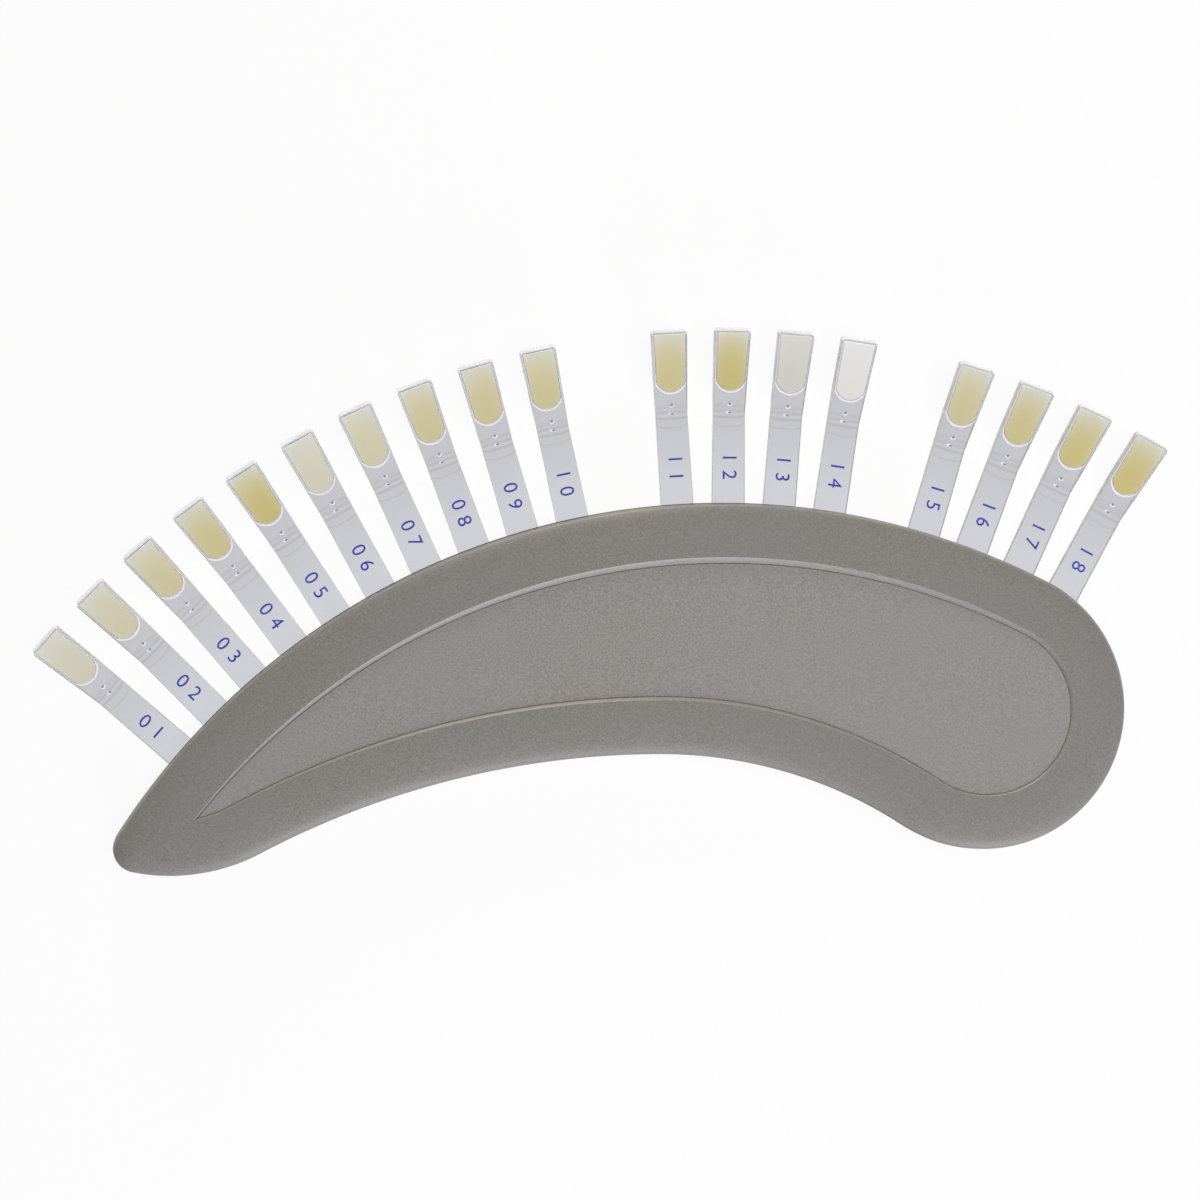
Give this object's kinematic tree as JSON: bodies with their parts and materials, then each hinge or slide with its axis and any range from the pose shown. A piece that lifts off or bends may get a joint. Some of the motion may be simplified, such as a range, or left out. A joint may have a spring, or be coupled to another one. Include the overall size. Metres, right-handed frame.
{
  "type": "dental shade guide",
  "caption": "Comma-shaped handle of two moulded shells with a fan of clear sliding sticks, each with a tooth-coloured sample in its bent head.",
  "frame": {"origin": "on the flat back of the handle, on the centre line of the fan of sticks, 106 mm from the fan centre", "axes": "+X to the right and +Y towards the sticks as the face is usually seen, +Z out of the face; the guide lies on its flat back at Z = 0"},
  "size_m": [0.2031, 0.0983, 0.0111],
  "materials": {
    "grey_moulding": "fine spark texture, warm mid grey",
    "clear_moulding": "clear gloss plastic",
    "composite_01": "polished tooth-coloured composite",
    "composite_02": "polished tooth-coloured composite",
    "composite_03": "polished tooth-coloured composite",
    "composite_04": "polished tooth-coloured composite",
    "composite_05": "polished tooth-coloured composite",
    "composite_06": "polished tooth-coloured composite",
    "composite_07": "polished tooth-coloured composite",
    "composite_08": "polished tooth-coloured composite",
    "composite_09": "polished tooth-coloured composite",
    "composite_10": "polished tooth-coloured composite",
    "composite_11": "polished tooth-coloured composite",
    "composite_12": "polished tooth-coloured composite",
    "composite_13": "polished tooth-coloured composite",
    "composite_14": "polished tooth-coloured composite",
    "composite_15": "polished tooth-coloured composite",
    "composite_16": "polished tooth-coloured composite",
    "composite_17": "polished tooth-coloured composite",
    "composite_18": "polished tooth-coloured composite"
  },
  "bodies": {
    "handle": {"front_shell": "grey_moulding", "back_shell": "grey_moulding"},
    "tab_01": {"stick_01": "clear_moulding", "sample_01": "composite_01"},
    "tab_02": {"stick_02": "clear_moulding", "sample_02": "composite_02"},
    "tab_03": {"stick_03": "clear_moulding", "sample_03": "composite_03"},
    "tab_04": {"stick_04": "clear_moulding", "sample_04": "composite_04"},
    "tab_05": {"stick_05": "clear_moulding", "sample_05": "composite_05"},
    "tab_06": {"stick_06": "clear_moulding", "sample_06": "composite_06"},
    "tab_07": {"stick_07": "clear_moulding", "sample_07": "composite_07"},
    "tab_08": {"stick_08": "clear_moulding", "sample_08": "composite_08"},
    "tab_09": {"stick_09": "clear_moulding", "sample_09": "composite_09"},
    "tab_10": {"stick_10": "clear_moulding", "sample_10": "composite_10"},
    "tab_11": {"stick_11": "clear_moulding", "sample_11": "composite_11"},
    "tab_12": {"stick_12": "clear_moulding", "sample_12": "composite_12"},
    "tab_13": {"stick_13": "clear_moulding", "sample_13": "composite_13"},
    "tab_14": {"stick_14": "clear_moulding", "sample_14": "composite_14"},
    "tab_15": {"stick_15": "clear_moulding", "sample_15": "composite_15"},
    "tab_16": {"stick_16": "clear_moulding", "sample_16": "composite_16"},
    "tab_17": {"stick_17": "clear_moulding", "sample_17": "composite_17"},
    "tab_18": {"stick_18": "clear_moulding", "sample_18": "composite_18"}
  },
  "joints": [
    {"name": "tab_01_slide", "type": "slide", "parent": "handle", "child": "tab_01", "axis": [-0.7559, 0.6547, 0], "range_m": [0, 0.015]},
    {"name": "tab_02_slide", "type": "slide", "parent": "handle", "child": "tab_02", "axis": [-0.7071, 0.7071, 0], "range_m": [0, 0.015]},
    {"name": "tab_03_slide", "type": "slide", "parent": "handle", "child": "tab_03", "axis": [-0.6547, 0.7559, 0], "range_m": [0, 0.015]},
    {"name": "tab_04_slide", "type": "slide", "parent": "handle", "child": "tab_04", "axis": [-0.599, 0.8007, 0], "range_m": [0, 0.015]},
    {"name": "tab_05_slide", "type": "slide", "parent": "handle", "child": "tab_05", "axis": [-0.5402, 0.8415, 0], "range_m": [0, 0.015]},
    {"name": "tab_06_slide", "type": "slide", "parent": "handle", "child": "tab_06", "axis": [-0.4787, 0.878, 0], "range_m": [0, 0.015]},
    {"name": "tab_07_slide", "type": "slide", "parent": "handle", "child": "tab_07", "axis": [-0.4147, 0.91, 0], "range_m": [0, 0.015]},
    {"name": "tab_08_slide", "type": "slide", "parent": "handle", "child": "tab_08", "axis": [-0.3486, 0.9373, 0], "range_m": [0, 0.015]},
    {"name": "tab_09_slide", "type": "slide", "parent": "handle", "child": "tab_09", "axis": [-0.2807, 0.9598, 0], "range_m": [0, 0.015]},
    {"name": "tab_10_slide", "type": "slide", "parent": "handle", "child": "tab_10", "axis": [-0.2113, 0.9774, 0], "range_m": [0, 0.015]},
    {"name": "tab_11_slide", "type": "slide", "parent": "handle", "child": "tab_11", "axis": [-0.0645, 0.9979, 0], "range_m": [0, 0.015]},
    {"name": "tab_12_slide", "type": "slide", "parent": "handle", "child": "tab_12", "axis": [0.007, 1, 0], "range_m": [0, 0.015]},
    {"name": "tab_13_slide", "type": "slide", "parent": "handle", "child": "tab_13", "axis": [0.0785, 0.9969, 0], "range_m": [0, 0.015]},
    {"name": "tab_14_slide", "type": "slide", "parent": "handle", "child": "tab_14", "axis": [0.1495, 0.9888, 0], "range_m": [0, 0.015]},
    {"name": "tab_15_slide", "type": "slide", "parent": "handle", "child": "tab_15", "axis": [0.2823, 0.9593, 0], "range_m": [0, 0.015]},
    {"name": "tab_16_slide", "type": "slide", "parent": "handle", "child": "tab_16", "axis": [0.3502, 0.9367, 0], "range_m": [0, 0.015]},
    {"name": "tab_17_slide", "type": "slide", "parent": "handle", "child": "tab_17", "axis": [0.4163, 0.9092, 0], "range_m": [0, 0.015]},
    {"name": "tab_18_slide", "type": "slide", "parent": "handle", "child": "tab_18", "axis": [0.4802, 0.8771, 0], "range_m": [0, 0.015]}
  ]
}
